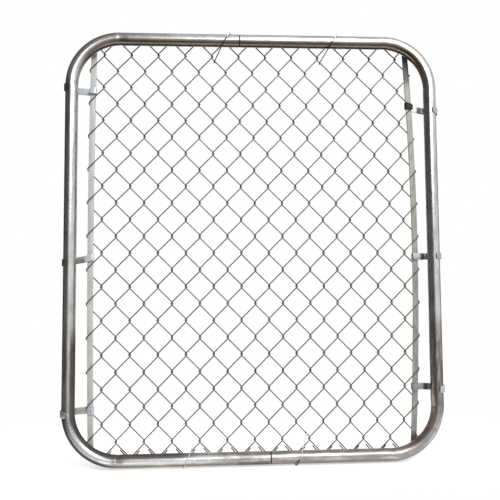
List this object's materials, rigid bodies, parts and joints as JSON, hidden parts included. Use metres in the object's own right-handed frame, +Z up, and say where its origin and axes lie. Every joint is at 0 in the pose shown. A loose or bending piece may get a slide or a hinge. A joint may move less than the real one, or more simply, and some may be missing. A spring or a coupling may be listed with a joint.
{
  "type": "chain link walk gate leaf",
  "caption": "Round-cornered tube gate leaf with woven diamond wire fabric, flat tension bars, strap clips and tie wires.",
  "frame": {"origin": "on the axis of the left stile, at the lower hinge seat, 252 mm above the bottom rail's axis", "axes": "+Z up along the stile, +X along the rails to the latch stile, the front of the gate faces -Y and the fabric lies on the +Y side"},
  "size_m": [1.0705, 0.0562, 1.2253],
  "materials": {
    "frame_tube": "weathered galvanized, satin, mottled",
    "tension_bar": "weathered galvanized, dull",
    "strap_clip": "weathered galvanized, dull",
    "fabric_wire": "weathered galvanized wire, dull grey",
    "tie_wire": "oxidised, dull"
  },
  "bodies": {
    "root": {"frame_left_half": "frame_tube", "frame_right_half": "frame_tube", "tension_bar_left": "tension_bar", "tension_bar_right": "tension_bar", "clip_left_top": "strap_clip", "clip_left_middle": "strap_clip", "clip_left_bottom": "strap_clip", "clip_right_top": "strap_clip", "clip_right_middle": "strap_clip", "clip_right_bottom": "strap_clip", "tie_top_left": "tie_wire", "tie_top_right": "tie_wire", "tie_bottom_left": "tie_wire", "tie_bottom_right": "tie_wire", "fabric_wire_01": "fabric_wire", "fabric_wire_02": "fabric_wire", "fabric_wire_03": "fabric_wire", "fabric_wire_04": "fabric_wire", "fabric_wire_05": "fabric_wire", "fabric_wire_06": "fabric_wire", "fabric_wire_07": "fabric_wire", "fabric_wire_08": "fabric_wire", "fabric_wire_09": "fabric_wire", "fabric_wire_10": "fabric_wire", "fabric_wire_11": "fabric_wire", "fabric_wire_12": "fabric_wire", "fabric_wire_13": "fabric_wire", "fabric_wire_14": "fabric_wire", "fabric_wire_15": "fabric_wire", "fabric_wire_16": "fabric_wire", "fabric_wire_17": "fabric_wire", "fabric_wire_18": "fabric_wire", "fabric_wire_19": "fabric_wire", "fabric_wire_20": "fabric_wire", "fabric_wire_21": "fabric_wire", "fabric_wire_22": "fabric_wire", "fabric_wire_23": "fabric_wire", "fabric_wire_24": "fabric_wire"}
  },
  "joints": []
}
